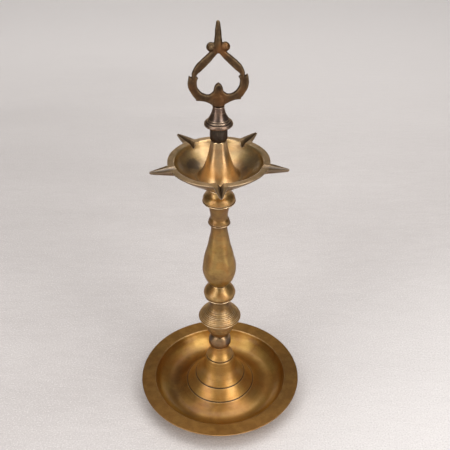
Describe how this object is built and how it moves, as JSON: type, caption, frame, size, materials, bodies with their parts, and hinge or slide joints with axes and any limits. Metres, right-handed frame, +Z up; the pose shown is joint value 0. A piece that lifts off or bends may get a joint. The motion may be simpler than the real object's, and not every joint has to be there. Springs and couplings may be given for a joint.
{
  "type": "standing oil lamp",
  "caption": "Brass standing oil lamp: drip tray, turned stem, oil bowl with wick spouts and a heart-shaped carrying finial, all screwed together.",
  "frame": {"origin": "centre of the foot ring, on the floor", "axes": "+Z up along the stem's axis; -Y towards the spout that faces forward; +X to its right"},
  "size_m": [0.158, 0.158, 0.383],
  "materials": {
    "tray_brass": "satin turned brass with brown patina in the trough and a blotchy matt rim",
    "turned_brass": "turned brass, half polished, dark at the edges",
    "grooved_brass": "turned brass with fine concentric tool lines",
    "cast_brass": "brownish cast brass, slightly rough",
    "polished_brass": "polished golden brass with brown stains",
    "stud_brass": "machine-cut screw thread, half polished",
    "dark_bronze": "nearly black oxidised bronze",
    "grey_bronze": "pinkish grey bronze, smooth",
    "loop_bronze": "dark brown rough casting with reddish patches"
  },
  "bodies": {
    "tray": {"tray_boss": "tray_brass", "tray_cone": "tray_brass", "tray_floor": "tray_brass", "tray_wall": "tray_brass", "tray_rim": "tray_brass"},
    "base_ring": {"base_bead": "turned_brass"},
    "lower_stem": {"lower_stem": "grooved_brass", "lower_stem_stud": "stud_brass"},
    "middle_ring": {"middle_disc": "turned_brass"},
    "upper_stem": {"upper_stem": "cast_brass", "upper_stem_stud": "stud_brass"},
    "seat_ring": {"bowl_seat_collar": "turned_brass"},
    "bowl": {"lamp_bowl": "polished_brass", "bowl_spire": "polished_brass", "bowl_stud": "stud_brass"},
    "finial_ring": {"finial_collar": "dark_bronze"},
    "finial": {"finial_knop": "grey_bronze", "finial_loop": "loop_bronze", "finial_stud": "stud_brass"}
  },
  "joints": [
    {"name": "lower_stem_turn", "type": "hinge", "parent": "tray", "child": "base_ring", "pos_m": [0, 0, 0.0607], "axis": [0, 0, 1], "range_deg": [0, 2160]},
    {"name": "lower_stem_rise", "type": "slide", "parent": "base_ring", "child": "lower_stem", "axis": [0, 0, 1], "range_m": [0, 0.012]},
    {"name": "upper_stem_turn", "type": "hinge", "parent": "lower_stem", "child": "middle_ring", "pos_m": [0, 0, 0.1224], "axis": [0, 0, 1], "range_deg": [0, 2160]},
    {"name": "upper_stem_rise", "type": "slide", "parent": "middle_ring", "child": "upper_stem", "axis": [0, 0, 1], "range_m": [0, 0.012]},
    {"name": "bowl_turn", "type": "hinge", "parent": "upper_stem", "child": "seat_ring", "pos_m": [0, 0, 0.2268], "axis": [0, 0, 1], "range_deg": [0, 2160]},
    {"name": "bowl_rise", "type": "slide", "parent": "seat_ring", "child": "bowl", "axis": [0, 0, 1], "range_m": [0, 0.012]},
    {"name": "finial_turn", "type": "hinge", "parent": "bowl", "child": "finial_ring", "pos_m": [0, 0, 0.2853], "axis": [0, 0, 1], "range_deg": [0, 2880]},
    {"name": "finial_rise", "type": "slide", "parent": "finial_ring", "child": "finial", "axis": [0, 0, 1], "range_m": [0, 0.012]}
  ],
  "couplings": [
    {"joint": "lower_stem_turn", "follows": "lower_stem_rise", "rad_per_m": 3141.6},
    {"joint": "upper_stem_turn", "follows": "upper_stem_rise", "rad_per_m": 3141.6},
    {"joint": "bowl_turn", "follows": "bowl_rise", "rad_per_m": 3141.6},
    {"joint": "finial_turn", "follows": "finial_rise", "rad_per_m": 4188.8}
  ]
}
